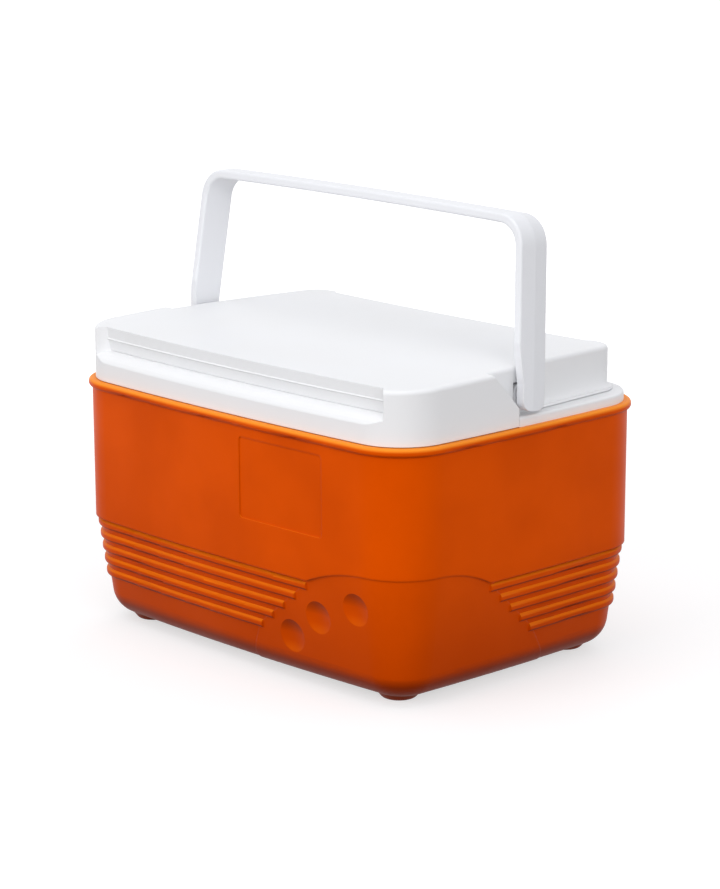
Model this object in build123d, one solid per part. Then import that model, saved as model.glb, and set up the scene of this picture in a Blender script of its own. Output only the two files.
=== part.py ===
from build123d import *
import os
from math import cos, radians, sin, tan

# Vaccine carrier: an insulated carrying box with a lift-off lid, a bail handle
# that folds to the rear, four ice packs and a foam vial pad.
# Millimetres. +Z is up, +X runs along the long side, +Y points to the rear.
# The origin is on the floor under the middle of the box.

# Orange outer shell
BODY_LENGTH = 300.0          # over the rim line, along X
BODY_DEPTH = 216.8           # over the rim line, along Y
RIM_HEIGHT = 158.0           # floor to the top of the rim
FACE_BULGE = 4.8             # how far the long faces bow out
END_BULGE = 2.4              # how far the ends bow out
CORNER_RADIUS = 34.0
SHELL_WALL = 3.0
FOOT_HEIGHT = 3.6
FOOT_RADIUS = 15.5           # where a foot meets the floor of the shell
FOOT_END_RADIUS = 10.0
FOOT_INSET = 37.0
FOOT_ROUNDING = 3.4
BASE_ROUNDING = 18.0
BEAD_HEIGHT = 5.0
BEAD_OUTSET = 3.2
BEAD_ROUNDING = 2.2
UPPER_TOP_INSET = -1.0       # the upper wall stands outside the rim line
UPPER_LOW_INSET = -0.7
LOWER_TOP_INSET = 0.8
LOWER_LOW_INSET = 10.8
WAIST_DROP = 89.0            # rim to the step where the lower wall starts
CORNER_RISE = 11.0           # how far the step rises round the smooth corners
CORNER_FACE_RUN = 52.0       # length of that rise on a long face
CORNER_END_RUN = 44.0        # length of that rise on an end face
CORNER_PROUD = 0.8           # smooth corners over the ribbed wall
CORNER_EDGE = 3.0            # how far a rib's end lies inside a smooth corner
CORNER_FACE_FOOT = 14.0      # how much further that edge runs below the ribs
CORNER_END_FOOT = 20.0

# Ribs of the lower wall
RIB_COUNT = 5
RIB_FIRST_DROP = 93.0
RIB_PITCH = 8.2
RIB_HEIGHT = 5.0
RIB_PROUD = 2.0
RIB_EDGE = 1.8
RIB_FACE_END = 70.0          # X where the first rib ends on a long face
RIB_END_END = 31.0           # Y where the first rib ends on an end face
RIB_FACE_SLOPE = 1.30
RIB_END_SLOPE = 1.15

# Bare panel and dimples of the front face
PANEL_CENTRE_X = 50.5
PANEL_CENTRE_DROP = 36.0
PANEL_LENGTH = 70.0
PANEL_HEIGHT = 49.5
PANEL_DEPTH = 0.5
PANEL_CORNER = 2.0
DIMPLE_RADIUS = 10.0
DIMPLE_DEPTH = 2.0
DIMPLES = ((110.5, 103.0), (78.0, 114.5), (53.5, 131.0))   # X and drop from the rim

# Liner and collar
END_WALL = 27.0              # rim line to the chamber's ends
SIDE_WALL = 26.4             # rim line to the chamber's sides
CHAMBER_FLOOR = 31.0
CHAMBER_RADIUS = 26.0
CHAMBER_FOOT_RADIUS = 4.0
CHAMBER_TAPER = 5.0          # how much each wall closes in at the floor
LINER_WALL = 2.0
LINER_FLANGE = 8.0
COLLAR_HEIGHT = 5.9
COLLAR_EDGE = 1.5
TOP_INSET = 1.2              # lid and collar faces inside the rim line

# Lid
LID_HEIGHT = 32.6            # above the rim, at its front and rear edges
LID_CROWN = 1.8
LID_WALL = 3.0
LID_EDGE = 2.5
LID_GAP = 0.4
SEAM_GAP = 0.2               # upright seam between lid and collar
LID_REAR_INSET = 15.4        # rear wall inside the rim line
LID_REAR_CORNER = 14.0
RECESS_START = -8.5          # Y where the full-width part of the lid ends
RECESS_INSET = 9.6           # side of the lid beside the handle, inside the rim line
RECESS_TAPER = 0.076
RAMP_LENGTH = 21.5
RAMP_FOOT = 11.4             # above the rim
WING_REACH = 20.0            # how far the narrow part runs into the full-width part
COVE = 3.0
COVE_PLATE = 1.6
COVE_STEPS = 6
COVE_START = 15.0            # Y where the foot of the lid's side starts to flare
SKIRT = 3.2
SKIRT_GAP = 0.7
PAN_DROP = 7.4               # rim to the underside of the lid
PAN_PLATE = 1.6
PLUG_DEPTH = 14.0            # below the rim
PLUG_CLEARANCE = 1.2
PLUG_TAPER = 2.0
SEAL_WIDTH = 4.5
SEAL_INSET = 1.0             # seal outside the liner's opening

# Finger grooves of the lid
GROOVE_END = 17.0            # end of the front groove inside the rim line
REAR_GROOVE_END = 30.0
REAR_GROOVE_DISH = 3.0       # how much deeper the rear groove is in its middle
GROOVE_INSET = 7.8
GROOVE_LIP_HEIGHT = 25.8
GROOVE_LIP = 0.8
GROOVE_UNDERCUT = 9.6
GROOVE_FLOOR = 17.9
GROOVE_FOOT = 9.4
GROOVE_STEPS = 8
GROOVE_REACH = 30.0          # how far the cutter runs out of the lid
GROOVE_HOLLOW = 0.4          # how much the foot's round is set out
GROOVE_CREASE = 0.7          # sharp crease behind the foot

# Handle
PIVOT_HEIGHT = 17.5          # above the rim
PIVOT_Y = 2.2
STRAP_WIDTH = 22.6
STRAP_FORWARD = 1.5          # how far the strap's middle lies before the pivots
STRAP_END_WIDTH = 17.6
STRAP_TAPER = 24.0           # height over which a leg narrows
STRAP_TAPER_FOOT = 7.0       # pivot to the lower end of that taper
STRAP_THICKNESS = 6.6
STRAP_EDGE = 1.5
STRAP_RIDGE = 1.2            # how far the middle of the outer face stands proud
STRAP_END_RADIUS = 5.6
HANDLE_REACH = 106.3         # pivot to the top of the grip
HANDLE_OUTSET = 1.3          # outer face of a leg at its pivot, outside the rim line
HANDLE_SPLAY = 4.9
HANDLE_LEAN = 5.7
HANDLE_OUTER_RADIUS = 20.0
HANDLE_INNER_RADIUS = 14.0
GRIP_ARCH = 1.2
PIN_RADIUS = 2.5
PIN_HEAD_RADIUS = 4.0
PIN_HEAD = 1.5
HEAD_GAP = 0.3
PIN_SKIN = 1.5               # leg material left over the end of a pin
EAR_INSET = 10.2             # outer face of an ear inside the rim line
EAR_THICKNESS = 6.2
EAR_RADIUS = 6.4
EAR_GAP = 0.8
BOSS_RADIUS = 4.8
BOSS_GAP = 0.3
FIT = 0.05                   # turning fit of a pin
TIGHT = 0.02                 # fixed fit of a pin

# Contents
PACK_WIDTH = 118.0
PACK_THICKNESS = 21.0
PACK_EDGE = 4.0
PACK_GAP = 0.8
PACK_NOTCH_WIDTH = 30.0
PACK_NOTCH_HEIGHT = 17.0
PACK_WAIST_DEPTH = 1.5
PACK_WAIST_LENGTH = 65.0
PACK_WAIST_HEIGHT = 50.0
PACK_WAIST_RADIUS = 8.0
PACK_WAIST_X = -8.0
PACK_WAIST_Z = 48.0
NECK_RADIUS = 7.5
NECK_HEIGHT = 8.0
CAP_RADIUS = 10.0
CAP_HEIGHT = 12.0
CAP_EDGE = 1.2
CAP_SKIRT = 3.0              # smooth top band of the cap
CAP_GAP = 0.4
THREAD_GAP = 0.08
CAP_FLUTES = 16
CAP_FLUTE_RADIUS = 0.9
PAD_THICKNESS = 10.0
PAD_GAP = 2.0
PAD_LIFT = 0.3
PAD_ROOM = 1.9               # pad to the underside of the plug
SLIT_LENGTH = 22.0
SLIT_WIDTH = 1.4
SLIT_COLUMNS = 4
SLIT_ROWS = 2
SLIT_PITCH = 44.0

HALF_X = BODY_LENGTH / 2
HALF_Y = BODY_DEPTH / 2
FAR = 400.0                  # reach of the cutting blocks
PAST = 1.0                   # how far a cutter runs past a face
WAIST = RIM_HEIGHT - WAIST_DROP
CREST = WAIST + CORNER_RISE
LID_TOP = RIM_HEIGHT + LID_HEIGHT
LID_REAR = HALF_Y - LID_REAR_INSET
RECESS_X = HALF_X - RECESS_INSET
GROOVE_HALF = HALF_X - GROOVE_END
REAR_GROOVE_HALF = HALF_X - REAR_GROOVE_END
PIVOT_Z = RIM_HEIGHT + PIVOT_HEIGHT
EAR_OUTER = HALF_X - EAR_INSET
EAR_INNER = EAR_OUTER - EAR_THICKNESS
HANDLE_FOOT_X = HALF_X + HANDLE_OUTSET
CHAMBER_LENGTH = BODY_LENGTH - 2 * END_WALL
CHAMBER_DEPTH = BODY_DEPTH - 2 * SIDE_WALL
PAD_FOOT = RIM_HEIGHT - PLUG_DEPTH - PAD_ROOM - PAD_THICKNESS
PACK_HEIGHT = PAD_FOOT - PAD_LIFT - PACK_GAP - CHAMBER_FLOOR


def plan(half_x, half_y, radius, height):
    """Rounded outline with gently bowed sides, as a face at a height."""
    x = half_x - END_BULGE
    y = half_y - FACE_BULGE
    front = ThreePointArc((-x, -y), (0, -half_y), (x, -y))
    right = ThreePointArc((x, -y), (half_x, 0), (x, y))
    rear = ThreePointArc((x, y), (0, half_y), (-x, y))
    left = ThreePointArc((-x, y), (-half_x, 0), (-x, -y))
    outline = make_face(Curve() + [front, right, rear, left])
    return Pos(0, 0, height) * fillet(outline.vertices(), radius)


def body_plan(inset, height):
    """Outline of the box, moved in from the rim line."""
    return plan(HALF_X - inset, HALF_Y - inset, CORNER_RADIUS - inset, height)


def chamber_plan(inset, height):
    """Outline of the liner's opening, moved in."""
    half_x = CHAMBER_LENGTH / 2 - inset
    half_y = CHAMBER_DEPTH / 2 - inset
    return plan(half_x, half_y, CHAMBER_RADIUS - inset / 2, height)


def block(x0, x1, y0, y1, z0, z1):
    """Plain box between two corners."""
    size = (x1 - x0, y1 - y0, z1 - z0)
    return Pos(x0, y0, z0) * Box(*size, align=(Align.MIN, Align.MIN, Align.MIN))


def upper_inset(height):
    """How far the upper wall stands inside the rim line at a height."""
    share = (RIM_HEIGHT - height) / WAIST_DROP
    return UPPER_TOP_INSET + (UPPER_LOW_INSET - UPPER_TOP_INSET) * share


def lower_inset(height):
    """How far the lower wall stands inside the rim line at a height."""
    share = (CREST - height) / (CREST - FOOT_HEIGHT)
    return LOWER_TOP_INSET + (LOWER_LOW_INSET - LOWER_TOP_INSET) * share


def face_prism(lines, y0, y1):
    """Outline in X and Z, run from y0 to y1."""
    outline = Plane.XZ * make_face(Curve() + lines)
    return Pos(0, y1, 0) * extrude(outline, y1 - y0)


def end_prism(lines, x0, x1):
    """Outline in Y and Z, run from x0 to x1."""
    outline = Plane.YZ * make_face(Curve() + lines)
    return Pos(x0, 0, 0) * extrude(outline, x1 - x0)


def half_turn(shape):
    """The same shape on the opposite corner."""
    return Rot(0, 0, 180) * shape


def lower_wall(wall, proud):
    """Solid inside the lower wall, shrunk by a wall or standing proud of it."""
    solid = loft([
        body_plan(LOWER_LOW_INSET + wall - proud, FOOT_HEIGHT + wall),
        body_plan(LOWER_TOP_INSET + wall - proud, CREST),
    ])
    base = solid.faces().sort_by(Axis.Z)[0]
    return fillet(base.edges(), BASE_ROUNDING - wall)


def upper_wall(wall):
    """Solid inside the upper wall, shrunk by a wall."""
    return loft([
        body_plan(UPPER_LOW_INSET + wall, WAIST),
        body_plan(UPPER_TOP_INSET + wall, RIM_HEIGHT),
    ])


def arch(start, run):
    """Region under the step that rises from a rib's end to the crest."""
    foot = WAIST - PAST
    rise = TangentArc((start + run, CREST), (start, foot), tangent=(-1, 0))
    return [rise, Polyline((start, foot), (FAR, foot), (FAR, CREST), (start + run, CREST))]


def corner_edge(start, slope, foot_run):
    """Region of a smooth corner, beyond the slanting line of the ribs' ends."""
    last = RIB_PITCH * (RIB_COUNT - 1)
    near = start - CORNER_EDGE
    far = near - slope * last
    ends = [
        (near, CREST),
        (near, RIM_HEIGHT - RIB_FIRST_DROP),
        (far, RIM_HEIGHT - RIB_FIRST_DROP - last),
        (far - foot_run, 0),
        (FAR, 0),
        (FAR, CREST),
    ]
    return [Polyline(*ends, close=True)]


def corner_region(on_face, on_end):
    """Region round the front right corner, outlined on the face and on the end."""
    band = HALF_Y - CORNER_RADIUS
    face = face_prism(on_face, -FAR, -band)
    end = Rot(0, 0, 180) * end_prism(on_end, -FAR, CORNER_RADIUS - HALF_X)
    return face + end


def rising_corner():
    """Part of the upper wall that gives way to a smooth corner."""
    face = arch(RIB_FACE_END, CORNER_FACE_RUN)
    return corner_region(face, arch(RIB_END_END, CORNER_END_RUN))


def smooth_corner():
    """Smooth front right corner of the lower wall, a little proud of the rest."""
    face = corner_edge(RIB_FACE_END, RIB_FACE_SLOPE, CORNER_FACE_FOOT)
    end = corner_edge(RIB_END_END, RIB_END_SLOPE, CORNER_END_FOOT)
    return lower_wall(0, CORNER_PROUD) & corner_region(face, end)


def rib_zone(drop):
    """Region that a rib of the front left corner runs through."""
    lower = drop - RIB_FIRST_DROP
    face_end = RIB_FACE_END - RIB_FACE_SLOPE * lower
    end_end = RIB_END_END - RIB_END_SLOPE * lower
    on_face = block(-FAR, face_end, -FAR, CORNER_RADIUS - HALF_Y, 0, RIM_HEIGHT)
    return on_face + block(-FAR, CORNER_RADIUS - HALF_X, -FAR, end_end, 0, RIM_HEIGHT)


def ribs():
    """Rounded bands round two opposite corners of the lower wall."""
    bands = Part()
    for index in range(RIB_COUNT):
        drop = RIB_FIRST_DROP + index * RIB_PITCH
        foot = RIM_HEIGHT - drop - RIB_HEIGHT / 2
        inset = lower_inset(RIM_HEIGHT - drop)
        band = extrude(body_plan(inset - RIB_PROUD, foot), RIB_HEIGHT)
        ends = band.faces().sort_by(Axis.Z)
        band = fillet(ends[0].edges() + ends[-1].edges(), RIB_EDGE)
        band -= extrude(body_plan(inset + SHELL_WALL / 2, foot), RIB_HEIGHT)
        zone = rib_zone(drop)
        bands += [band & zone, band & half_turn(zone)]
    return bands


def bead():
    """Rolled rim of the shell."""
    roll = body_plan(-BEAD_OUTSET, RIM_HEIGHT - BEAD_HEIGHT)
    ring = extrude(roll, BEAD_HEIGHT)
    ends = ring.faces().sort_by(Axis.Z)
    edges = ends[0].edges() + ends[-1].edges()
    return fillet(edges, BEAD_ROUNDING)


def feet():
    """Four bowl-shaped feet moulded under the corners."""
    pads = Part()
    low = (Align.CENTER, Align.CENTER, Align.MIN)
    pad = Cone(FOOT_END_RADIUS, FOOT_RADIUS, FOOT_HEIGHT + SHELL_WALL, align=low)
    pad = fillet(pad.faces().sort_by(Axis.Z)[0].edges(), FOOT_ROUNDING)
    for side in (-1, 1):
        for end in (-1, 1):
            spot = Pos(side * (HALF_X - FOOT_INSET), end * (HALF_Y - FOOT_INSET), 0)
            pads += spot * pad
    return pads


def dimples():
    """Balls that press the three dimples of a long face."""
    ball = (DIMPLE_RADIUS ** 2 + DIMPLE_DEPTH ** 2) / (2 * DIMPLE_DEPTH)
    balls = Part()
    for x, drop in DIMPLES:
        inset = lower_inset(RIM_HEIGHT - drop) - CORNER_PROUD
        bow = FACE_BULGE * (x / HALF_X) ** 2
        wall = -(HALF_Y - inset - bow)
        balls += Pos(x, wall - ball + DIMPLE_DEPTH, RIM_HEIGHT - drop) * Sphere(ball)
    return balls


def front_panel():
    """Shallow bare panel let into the front face."""
    x0 = PANEL_CENTRE_X - PANEL_LENGTH / 2
    x1 = PANEL_CENTRE_X + PANEL_LENGTH / 2
    middle = RIM_HEIGHT - PANEL_CENTRE_DROP
    z0 = middle - PANEL_HEIGHT / 2
    z1 = middle + PANEL_HEIGHT / 2
    window = block(x0, x1, -FAR, 0, z0, z1)
    window = fillet(window.edges().filter_by(Axis.Y), PANEL_CORNER)
    keep = loft([
        body_plan(upper_inset(z0) + PANEL_DEPTH, z0),
        body_plan(upper_inset(z1) + PANEL_DEPTH, z1),
    ])
    return window - keep


def foam_body():
    """Everything inside the shell's wall."""
    above = block(-FAR, FAR, -FAR, FAR, WAIST + SHELL_WALL, RIM_HEIGHT)
    return lower_wall(SHELL_WALL, 0) + (upper_wall(SHELL_WALL) & above)


def outer_shell():
    """Moulded orange tub: bowed walls, waist step, ribs, feet and rolled rim."""
    room = rising_corner()
    corner = smooth_corner()
    upper = upper_wall(0) - room - half_turn(room)
    lower = lower_wall(0, 0) + corner + half_turn(corner)
    body = upper + lower + ribs() + bead() + feet() - foam_body()
    return body - dimples() - half_turn(dimples()) - front_panel()


def body_insulation():
    """Rigid foam that fills the space between shell and liner."""
    return foam_body() - liner_body()


def liner_body():
    """Liner with its inside filled."""
    floor = chamber_plan(CHAMBER_TAPER - LINER_WALL, CHAMBER_FLOOR - LINER_WALL)
    mouth = chamber_plan(-LINER_WALL, RIM_HEIGHT)
    flange = chamber_plan(-LINER_WALL - LINER_FLANGE, RIM_HEIGHT - LINER_WALL)
    return loft([floor, mouth]) + extrude(flange, LINER_WALL)


def chamber_room():
    """Space inside the liner."""
    floor = chamber_plan(CHAMBER_TAPER, CHAMBER_FLOOR)
    mouth = chamber_plan(0, RIM_HEIGHT)
    room = loft([floor, mouth])
    return fillet(room.faces().sort_by(Axis.Z)[0].edges(), CHAMBER_FOOT_RADIUS)


def inner_liner():
    """White tub with a flange on the foam's top."""
    return liner_body() - chamber_room()


def on_pivot(radius, x0, x1):
    """Cylinder on the pivot axis between two X values."""
    length = x1 - x0
    return Pos(x0 + length / 2, PIVOT_Y, PIVOT_Z) * Rot(0, 90, 0) * Cylinder(radius, length)


def other_side(shape, side):
    """The shape itself, or its mirror image on the left."""
    return shape if side > 0 else shape.mirror(Plane.YZ)


def ear(side):
    """Lug that carries one leg of the handle."""
    front = PIVOT_Y - EAR_RADIUS
    rear = PIVOT_Y + EAR_RADIUS
    lug = block(EAR_INNER, EAR_OUTER, front, rear, RIM_HEIGHT + COLLAR_HEIGHT / 2, PIVOT_Z)
    lug = lug + on_pivot(EAR_RADIUS, EAR_INNER, EAR_OUTER)
    bore = on_pivot(PIN_RADIUS + FIT, EAR_INNER - PAST, EAR_OUTER + PAST)
    head_depth = PIN_HEAD + HEAD_GAP
    seat = on_pivot(PIN_HEAD_RADIUS + HEAD_GAP, EAR_INNER - PAST, EAR_INNER + head_depth)
    return other_side(lug - bore - seat, side)


def top_collar():
    """White ring on the rim: ledge round the rear, seat under the lid in front."""
    ring = extrude(body_plan(TOP_INSET, RIM_HEIGHT), COLLAR_HEIGHT)
    ring = fillet(ring.faces().sort_by(Axis.Z)[-1].edges(), COLLAR_EDGE)
    base = RIM_HEIGHT - PAST
    height = COLLAR_HEIGHT + 2 * PAST
    under_lid = extrude(body_plan(TOP_INSET + SKIRT + SKIRT_GAP, base), height)
    room = block(-FAR, FAR, -FAR, RECESS_START + SEAM_GAP, base, FAR) - under_lid
    mouth = extrude(chamber_plan(0, base), height)
    return ring - room - mouth + ear(1) + ear(-1)


def lid_wing_plan(inset, height):
    """Outline of the lid between the legs of the handle, moved in."""
    front = RECESS_START - RAMP_LENGTH - WING_REACH
    rear = LID_REAR - inset
    near = RECESS_X + RECESS_TAPER * (RECESS_START - front) - inset
    far = RECESS_X - RECESS_TAPER * (rear - RECESS_START) - inset
    corners = [(-near, front), (near, front), (far, rear), (-far, rear)]
    outline = make_face(Polyline(*corners, close=True))
    rounded = outline.vertices().sort_by(Axis.Y)[-2:]
    return Pos(0, 0, height) * fillet(rounded, max(LID_REAR_CORNER - inset, 1.0))


def lid_wing_block(inset, z0, z1):
    """Rear part of the lid, between the legs of the handle."""
    return extrude(lid_wing_plan(inset, z0), z1 - z0)


def lid_front_block(inset, rear, z0, z1):
    """Full-width front part of the lid, back to a given Y."""
    solid = extrude(body_plan(TOP_INSET + inset, z0), z1 - z0)
    return solid & block(-FAR, FAR, -FAR, rear, z0, z1)


def crown_radius():
    """Radius of the lid's crowned top, seen from the side."""
    return (HALF_Y ** 2 + LID_CROWN ** 2) / (2 * LID_CROWN)


def crowned_top():
    """Everything under the lid's gently crowned top."""
    radius = crown_radius()
    drum = Pos(0, 0, LID_TOP + LID_CROWN - radius) * Rot(0, 90, 0) * Cylinder(radius, 2 * FAR)
    return drum & block(-FAR, FAR, -FAR, FAR, 0, FAR)


def ramp_cut():
    """Room above the slopes where the handle's legs stand."""
    foot = RIM_HEIGHT + RAMP_FOOT
    start = RECESS_START - RAMP_LENGTH
    sag = crown_radius() - (crown_radius() ** 2 - start ** 2) ** 0.5
    slope = (LID_TOP + LID_CROWN - sag - foot) / RAMP_LENGTH
    reach = RAMP_LENGTH + PAST
    profile = [
        (RECESS_START - reach, foot + slope * reach),
        (RECESS_START, foot),
        (FAR, foot),
        (FAR, FAR),
        (RECESS_START - reach, FAR),
    ]
    return end_prism([Polyline(*profile, close=True)], -FAR, FAR)


def groove_section(half_x, edge_y, bow, inset, height):
    """Slice of a finger groove, with ends that open outwards at 45 degrees."""
    half = half_x - inset
    side_y = edge_y + inset + bow
    bottom_y = edge_y + inset
    wall = ThreePointArc((-half, side_y), (0, bottom_y), (half, side_y))
    outer = half + GROOVE_REACH
    outer_y = side_y - GROOVE_REACH
    rim = Polyline((half, side_y), (outer, outer_y), (-outer, outer_y), (-half, side_y))
    return Pos(0, 0, RIM_HEIGHT + height) * make_face(Curve() + [wall, rim])


def groove(half_x, edge_y, bow):
    """Finger groove: two facets with a lip between them, a crease and a rounded foot."""
    top = LID_HEIGHT + LID_CROWN + PAST
    lip = GROOVE_LIP_HEIGHT
    rise = GROOVE_FLOOR - GROOVE_FOOT
    deep = GROOVE_UNDERCUT + GROOVE_CREASE + GROOVE_HOLLOW
    levels = []
    for step in range(GROOVE_STEPS + 1):
        turn = radians(90 - 90 * step / GROOVE_STEPS)
        levels.append((GROOVE_FOOT + rise * cos(turn), deep * (1 - sin(turn)) - GROOVE_HOLLOW))
    levels.append((GROOVE_FLOOR + GROOVE_CREASE, GROOVE_UNDERCUT))
    levels.append((lip - GROOVE_LIP, GROOVE_INSET + GROOVE_LIP))
    levels.append((lip - GROOVE_LIP / 2, GROOVE_INSET))
    levels.append((lip + GROOVE_LIP / 2, GROOVE_INSET + GROOVE_LIP))
    levels.append((top, GROOVE_INSET))
    return loft([groove_section(half_x, edge_y, bow, i, z) for z, i in levels], ruled=True)


def front_groove():
    """Finger groove along the bowed front of the lid."""
    bow = FACE_BULGE * (GROOVE_HALF / HALF_X) ** 2
    return groove(GROOVE_HALF, TOP_INSET - HALF_Y, bow)


def rear_groove():
    """Finger groove along the rear of the lid."""
    return half_turn(groove(REAR_GROOVE_HALF, -LID_REAR, -REAR_GROOVE_DISH))


def soft_top(solid):
    """Block under the crowned top, with its top edges rounded except at the ramps."""
    solid = solid & crowned_top()
    top = solid.faces().filter_by(GeomType.CYLINDER).sort_by(SortBy.AREA)[-1]
    start = RECESS_START - RAMP_LENGTH
    outer = top.edges().filter_by(lambda edge: abs(edge.center().Y - start) > PAST)
    return fillet(outer, LID_EDGE)


def lid_cove():
    """Flared foot of the lid's sides and rear, over the ledge."""
    base = RIM_HEIGHT + COLLAR_HEIGHT + LID_GAP
    sections = [lid_wing_plan(-COVE, base)]
    for step in range(COVE_STEPS + 1):
        turn = radians(90 * step / COVE_STEPS)
        reach = COVE * (1 - sin(turn))
        sections.append(lid_wing_plan(-reach, base + COVE_PLATE + COVE * (1 - cos(turn))))
    behind = block(-FAR, FAR, COVE_START, FAR, 0, FAR)
    return loft(sections, ruled=True) & behind


def lid_form():
    """Outside of the lid above the collar, without its grooves."""
    top = LID_TOP + LID_CROWN + PAST
    base = RIM_HEIGHT + COLLAR_HEIGHT + LID_GAP
    front = lid_front_block(0, RECESS_START, RIM_HEIGHT + LID_GAP, top) - ramp_cut()
    rear = lid_wing_block(0, base, top)
    return soft_top(front) + soft_top(rear) + lid_cove()


def ear_pockets(grow, z0):
    """Room in the lid's sides for the ears."""
    reach = EAR_RADIUS + EAR_GAP + grow
    front = PIVOT_Y - reach
    rear = PIVOT_Y + reach
    top = PIVOT_Z + reach
    right = block(EAR_INNER - EAR_GAP - grow, FAR, front, rear, z0, top)
    return right + right.mirror(Plane.YZ)


def lid_room():
    """Space in the lid above its pan."""
    floor = RIM_HEIGHT + PAN_DROP + PAN_PLATE
    ceiling = LID_TOP - LID_WALL
    deep = GROOVE_UNDERCUT + LID_WALL
    front = extrude(body_plan(TOP_INSET + LID_WALL, floor), ceiling - floor)
    start = RECESS_START - RAMP_LENGTH - LID_WALL
    reach = HALF_Y - TOP_INSET - FACE_BULGE - deep
    front = front & block(-FAR, FAR, -reach, start, floor, ceiling)
    rear = lid_wing_block(LID_WALL, floor, ceiling)
    rear = rear & block(-FAR, FAR, -FAR, LID_REAR - deep, floor, ceiling)
    return front + rear - ear_pockets(LID_WALL, 0)


def pan_room():
    """Room for the pan and the collar under the lid."""
    base = RIM_HEIGHT - PAST
    sole = RIM_HEIGHT + COLLAR_HEIGHT + LID_GAP
    top = RIM_HEIGHT + PAN_DROP + PAN_PLATE
    skirt = lid_front_block(SKIRT, RECESS_START, base, sole)
    front = lid_front_block(SKIRT, RECESS_START - SKIRT, base, top)
    rear = lid_wing_block(LID_WALL, base, top) - ear_pockets(LID_WALL, 0)
    return skirt + front + rear


def lid_shell():
    """White top of the lid with its front skirt, ramps and finger grooves."""
    shell = lid_form() - front_groove() - rear_groove()
    return shell - lid_room() - pan_room() - ear_pockets(0, 0)


def lid_pan():
    """White underside of the lid with the plug that enters the liner."""
    base = RIM_HEIGHT + PAN_DROP
    top = base + PAN_PLATE
    front = lid_front_block(SKIRT + FIT, RECESS_START - SKIRT - FIT, base, top)
    rear = lid_wing_block(LID_WALL + FIT, base, top)
    plate = front + rear - ear_pockets(LID_WALL + FIT, 0)
    plug = loft([
        chamber_plan(PLUG_CLEARANCE + PLUG_TAPER, RIM_HEIGHT - PLUG_DEPTH),
        chamber_plan(PLUG_CLEARANCE, base),
    ])
    return plate + plug - plug_room()


def plug_room():
    """Space inside the plug."""
    wall = PLUG_CLEARANCE + LINER_WALL
    return loft([
        chamber_plan(wall + PLUG_TAPER, RIM_HEIGHT - PLUG_DEPTH + LINER_WALL),
        chamber_plan(wall, RIM_HEIGHT + PAN_DROP + PAN_PLATE),
    ])


def lid_insulation():
    """Rigid foam that fills the lid and its plug."""
    return lid_room() + plug_room()


def lid_seal():
    """Soft ring between the pan and the collar."""
    outer = chamber_plan(-SEAL_WIDTH - SEAL_INSET, RIM_HEIGHT + COLLAR_HEIGHT)
    inner = chamber_plan(-SEAL_INSET, RIM_HEIGHT + COLLAR_HEIGHT)
    height = PAN_DROP - COLLAR_HEIGHT
    return extrude(outer, height) - extrude(inner, height)


def strap_outline(inset, radius):
    """Outline of the bail in its own plane, from the pivot up."""
    slope = tan(radians(HANDLE_SPLAY))
    top = HANDLE_REACH - inset
    low = -STRAP_WIDTH
    foot_x = HANDLE_FOOT_X - inset - slope * low
    top_x = HANDLE_FOOT_X - inset - slope * top
    grip = ThreePointArc((top_x, top - GRIP_ARCH), (0, top), (-top_x, top - GRIP_ARCH))
    legs = Polyline((-top_x, top - GRIP_ARCH), (-foot_x, low), (foot_x, low),
                    (top_x, top - GRIP_ARCH))
    outline = make_face(Curve() + [grip, legs])
    upper = outline.vertices().sort_by(Axis.Y)[-2:]
    return fillet(upper, radius)


def strap_sides():
    """Everything between the front and rear of the bail, which narrows to rounded ends."""
    half = STRAP_WIDTH / 2
    end = STRAP_END_WIDTH / 2
    front = -half - STRAP_FORWARD
    rear = half - STRAP_FORWARD
    wide = STRAP_TAPER_FOOT + STRAP_TAPER
    outline = Polyline(
        (front, FAR), (front, wide), (-end, STRAP_TAPER_FOOT), (-end, -end),
        (end, -end), (end, STRAP_TAPER_FOOT), (rear, wide), (rear, FAR), (front, FAR))
    sides = extrude(Plane.YZ * make_face(outline), FAR, both=True)
    low = sides.edges().filter_by(Axis.X).sort_by(Axis.Z)[:2]
    return fillet(low, STRAP_END_RADIUS)


def handle():
    """One strap bent into a bail, ridged along its outer face, with rounded ends."""
    half = STRAP_WIDTH / 2
    middle = strap_outline(0, HANDLE_OUTER_RADIUS)
    rim = strap_outline(STRAP_RIDGE, HANDLE_OUTER_RADIUS - STRAP_RIDGE)
    strap = Plane.XZ * loft([Pos(0, 0, -half) * rim, middle, Pos(0, 0, half) * rim], ruled=True)
    inside = strap_outline(STRAP_THICKNESS, HANDLE_INNER_RADIUS)
    strap -= extrude(Plane.XZ * inside, STRAP_WIDTH, both=True)
    rims = strap.faces().sort_by(Axis.Y)
    strap = fillet(rims[0].edges() + rims[-1].edges(), STRAP_EDGE)
    strap = Pos(0, -STRAP_FORWARD, 0) * strap & strap_sides()
    bail = Pos(0, PIVOT_Y, PIVOT_Z) * Rot(-HANDLE_LEAN, 0, 0) * strap
    for side in (-1, 1):
        boss = on_pivot(BOSS_RADIUS, EAR_OUTER + BOSS_GAP, HANDLE_FOOT_X - STRAP_THICKNESS / 2)
        bore = on_pivot(PIN_RADIUS + TIGHT, EAR_OUTER, HANDLE_FOOT_X - PIN_SKIN)
        bail = bail + other_side(boss, side) - other_side(bore, side)
    return bail


def pivot_pin(side):
    """Headed pin, entered from inside the ear and fixed in the leg."""
    start = EAR_INNER + TIGHT
    shank = on_pivot(PIN_RADIUS, start, HANDLE_FOOT_X - PIN_SKIN - TIGHT)
    head = on_pivot(PIN_HEAD_RADIUS, start, start + PIN_HEAD)
    return other_side(shank + head, side)


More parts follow.
